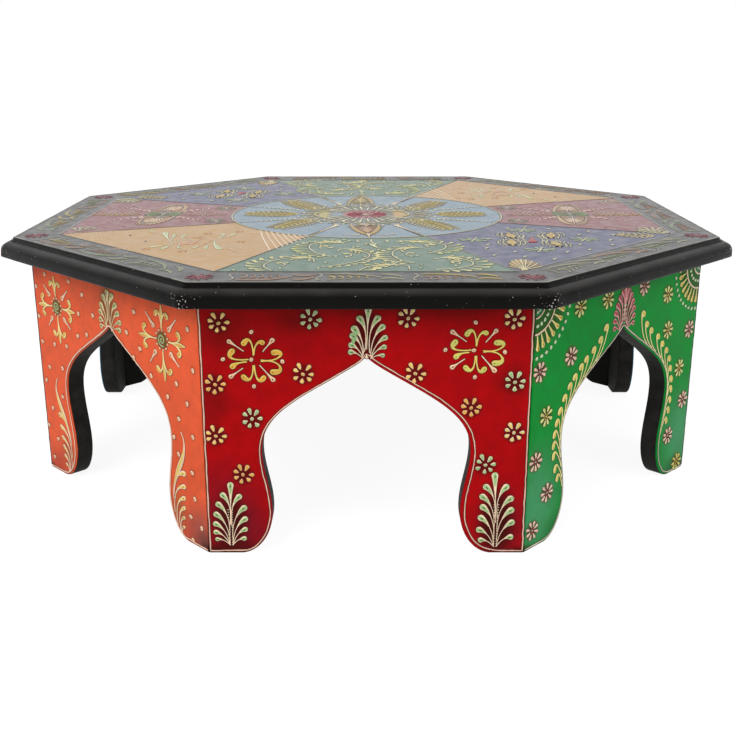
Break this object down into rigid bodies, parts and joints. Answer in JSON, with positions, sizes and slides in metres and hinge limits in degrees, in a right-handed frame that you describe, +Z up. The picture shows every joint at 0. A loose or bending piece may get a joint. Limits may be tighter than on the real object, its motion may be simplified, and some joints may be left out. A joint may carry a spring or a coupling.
{
  "type": "bajot low table",
  "caption": "Low octagonal wooden table on mitred ogee-arched side panels, with a moulded black rim and hand-painted raised folk ornament.",
  "frame": {"origin": "on the floor, under the centre of the octagonal top", "axes": "+Z up, -Y towards the front (crimson) panel, +X towards the right-hand panel seen from the front"},
  "size_m": [0.381, 0.381, 0.13],
  "materials": {
    "top_wood": "black gloss paint on the rim, painted and varnished top face",
    "red_panel": "crimson paint under satin varnish, with raised ornament",
    "green_panel": "leaf green paint under satin varnish, with raised ornament",
    "blue_panel": "peacock blue paint under satin varnish, with raised ornament",
    "orange_panel": "orange paint under satin varnish, with raised ornament",
    "steel": "plain bright wire nails and panel pins"
  },
  "bodies": {
    "root": {"top_board_front": "top_wood", "top_board_middle": "top_wood", "top_board_rear": "top_wood", "front_panel": "red_panel", "front_right_panel": "green_panel", "right_panel": "blue_panel", "rear_right_panel": "orange_panel", "rear_panel": "red_panel", "rear_left_panel": "green_panel", "left_panel": "blue_panel", "front_left_panel": "orange_panel", "front_top_nail_1": "steel", "front_top_nail_2": "steel", "front_right_top_nail_1": "steel", "front_right_top_nail_2": "steel", "right_top_nail_1": "steel", "right_top_nail_2": "steel", "rear_right_top_nail_1": "steel", "rear_right_top_nail_2": "steel", "rear_top_nail_1": "steel", "rear_top_nail_2": "steel", "rear_left_top_nail_1": "steel", "rear_left_top_nail_2": "steel", "left_top_nail_1": "steel", "left_top_nail_2": "steel", "front_left_top_nail_1": "steel", "front_left_top_nail_2": "steel", "front_mitre_pin_1": "steel", "front_mitre_pin_2": "steel", "front_right_mitre_pin_1": "steel", "front_right_mitre_pin_2": "steel", "right_mitre_pin_1": "steel", "right_mitre_pin_2": "steel", "rear_right_mitre_pin_1": "steel", "rear_right_mitre_pin_2": "steel", "rear_mitre_pin_1": "steel", "rear_mitre_pin_2": "steel", "rear_left_mitre_pin_1": "steel", "rear_left_mitre_pin_2": "steel", "left_mitre_pin_1": "steel", "left_mitre_pin_2": "steel", "front_left_mitre_pin_1": "steel", "front_left_mitre_pin_2": "steel"}
  },
  "joints": []
}
